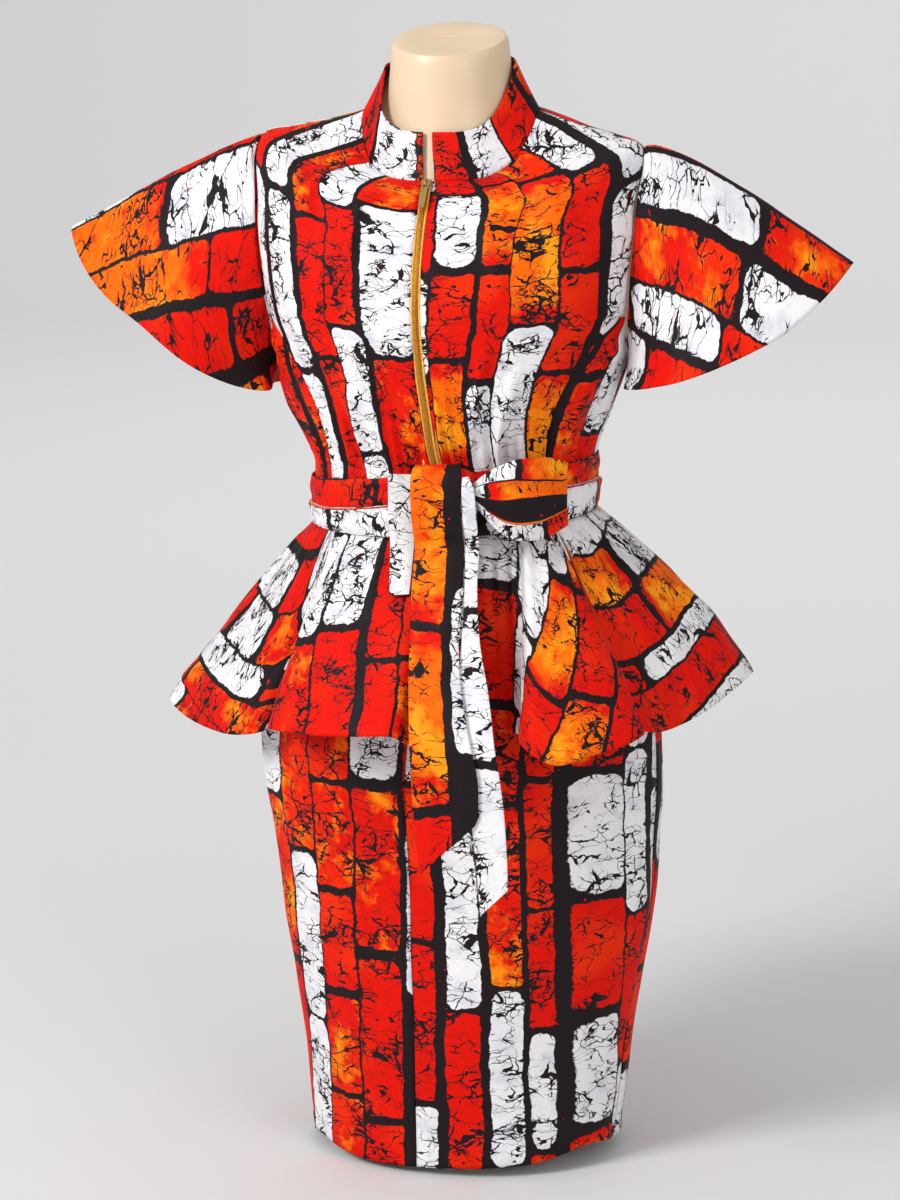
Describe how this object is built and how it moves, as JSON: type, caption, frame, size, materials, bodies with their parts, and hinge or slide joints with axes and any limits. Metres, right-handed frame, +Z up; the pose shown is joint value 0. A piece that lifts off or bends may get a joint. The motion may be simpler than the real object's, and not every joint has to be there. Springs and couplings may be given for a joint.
{
  "type": "peplum dress on a dress form",
  "caption": "Knee-length peplum dress with flutter sleeves, stand collar, half zip and tied sash, worn on a limbless dress form on a round base.",
  "frame": {"origin": "centre of the underside of the form's round base, on the floor", "axes": "+Z up, -Y the front of the dress, +X towards the wearer's left"},
  "size_m": [0.782, 0.4667, 1.1295],
  "materials": {
    "printed_cotton": "crisp printed cotton with a slight sheen",
    "zip_tape": "woven tape",
    "zip_gold": "polished",
    "form_cover": "smooth cream matt",
    "stand_steel": "brushed"
  },
  "bodies": {
    "dress": {"bodice_front_left": "printed_cotton", "bodice_front_right": "printed_cotton", "bodice_side_left": "printed_cotton", "bodice_side_right": "printed_cotton", "bodice_back": "printed_cotton", "collar": "printed_cotton", "sleeve_left": "printed_cotton", "sleeve_right": "printed_cotton", "peplum_front": "printed_cotton", "peplum_back": "printed_cotton", "skirt_front_left": "printed_cotton", "skirt_front_right": "printed_cotton", "skirt_back": "printed_cotton", "sash_band": "printed_cotton", "sash_knot": "printed_cotton", "sash_loop": "printed_cotton", "sash_tail_short": "printed_cotton", "sash_tail_wide": "printed_cotton", "sash_tail_under": "printed_cotton", "zip_tape": "zip_tape", "zip_chain": "zip_gold", "zip_slider": "zip_gold", "form_body": "form_cover", "form_post": "stand_steel", "form_base": "stand_steel"},
    "pull_tab": {"zip_pull": "zip_gold"}
  },
  "joints": [
    {"name": "pull_tab_hinge", "type": "hinge", "parent": "dress", "child": "pull_tab", "pos_m": [-0.00621, -0.08549, 0.98303], "axis": [-0.9999, 0.0122, -0.0105], "range_deg": [0, 140]}
  ]
}
